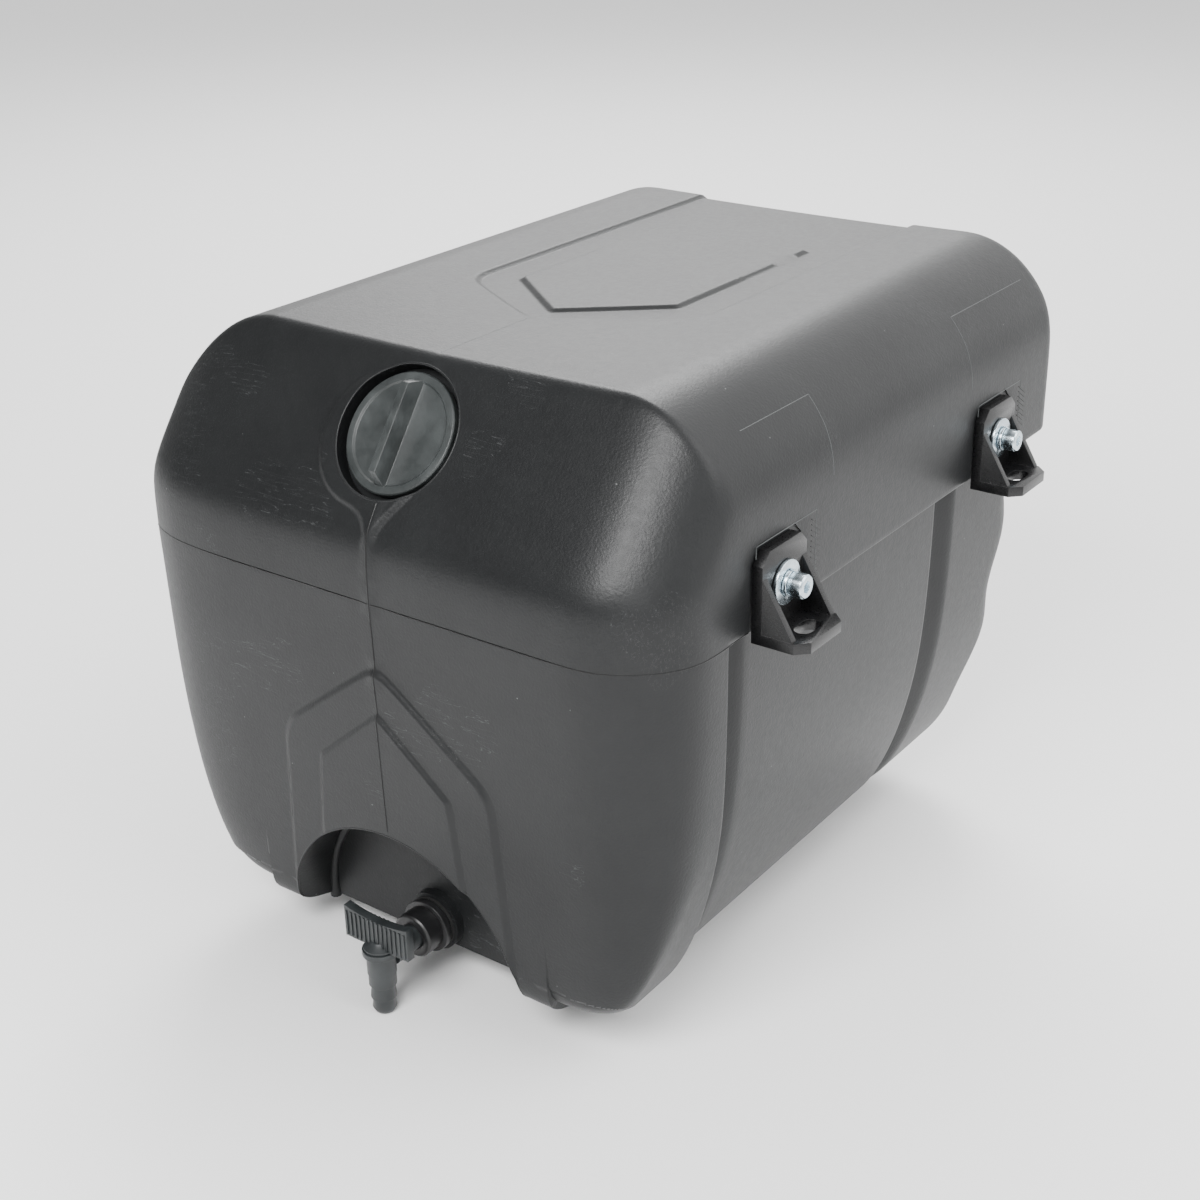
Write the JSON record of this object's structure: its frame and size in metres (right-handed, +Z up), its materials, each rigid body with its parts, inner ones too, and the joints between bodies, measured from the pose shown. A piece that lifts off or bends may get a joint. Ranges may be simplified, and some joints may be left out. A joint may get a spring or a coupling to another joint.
{
  "type": "fresh water tank",
  "caption": "Moulded plastic water tank with domed shoulders, sloped front, recessed screw cap, side angle brackets on stepped sides and a wing-handled drain tap in a low arched niche.",
  "frame": {"origin": "middle of the footprint, tap included, at the height of the spout's tip, which is the lowest point", "axes": "+Z up, +X to the tank's right as seen from its front, -Y towards the front face with the filler and the tap"},
  "size_m": [0.4226, 0.4696, 0.371],
  "materials": {
    "shell": "black moulded polyethylene, satin with a fine grain",
    "cap": "dark grey polypropylene, satin",
    "bracket": "black glass-filled nylon, semi-gloss",
    "zinc_steel": "bright zinc plate",
    "brass": "turned",
    "rubber": "matt nitrile",
    "adaptor": "black nylon",
    "tap": "dark grey polypropylene, satin"
  },
  "bodies": {
    "tank": {"tank_shell": "shell", "mounting_bracket_front_right": "bracket", "bracket_bolt_front_right": "zinc_steel", "flat_washer_front_right": "zinc_steel", "spring_washer_front_right": "zinc_steel", "threaded_insert_front_right": "brass", "mounting_bracket_front_left": "bracket", "bracket_bolt_front_left": "zinc_steel", "flat_washer_front_left": "zinc_steel", "spring_washer_front_left": "zinc_steel", "threaded_insert_front_left": "brass", "mounting_bracket_rear_right": "bracket", "bracket_bolt_rear_right": "zinc_steel", "flat_washer_rear_right": "zinc_steel", "spring_washer_rear_right": "zinc_steel", "threaded_insert_rear_right": "brass", "mounting_bracket_rear_left": "bracket", "bracket_bolt_rear_left": "zinc_steel", "flat_washer_rear_left": "zinc_steel", "spring_washer_rear_left": "zinc_steel", "threaded_insert_rear_left": "brass", "outlet_gasket": "rubber", "outlet_adaptor": "adaptor", "tap_union_seal": "rubber", "tap_union_nut": "adaptor", "tap_body": "tap"},
    "cap_seal": {"filler_gasket": "rubber"},
    "cap": {"filler_cap": "cap"},
    "handle": {"tap_handle": "tap", "tap_o_ring": "rubber"}
  },
  "joints": [
    {"name": "cap_lift", "type": "slide", "parent": "tank", "child": "cap_seal", "axis": [0, -0.7989, 0.6015], "range_m": [0, 0.07]},
    {"name": "cap_turn", "type": "hinge", "parent": "cap_seal", "child": "cap", "pos_m": [-0.0055, -0.17656, 0.33473], "axis": [0, -0.7989, 0.6015], "range_deg": [0, 720]},
    {"name": "tap_turn", "type": "hinge", "parent": "tank", "child": "handle", "pos_m": [0, -0.22425, 0.0425], "axis": [0, 0, 1], "range_deg": [0, 90]}
  ]
}
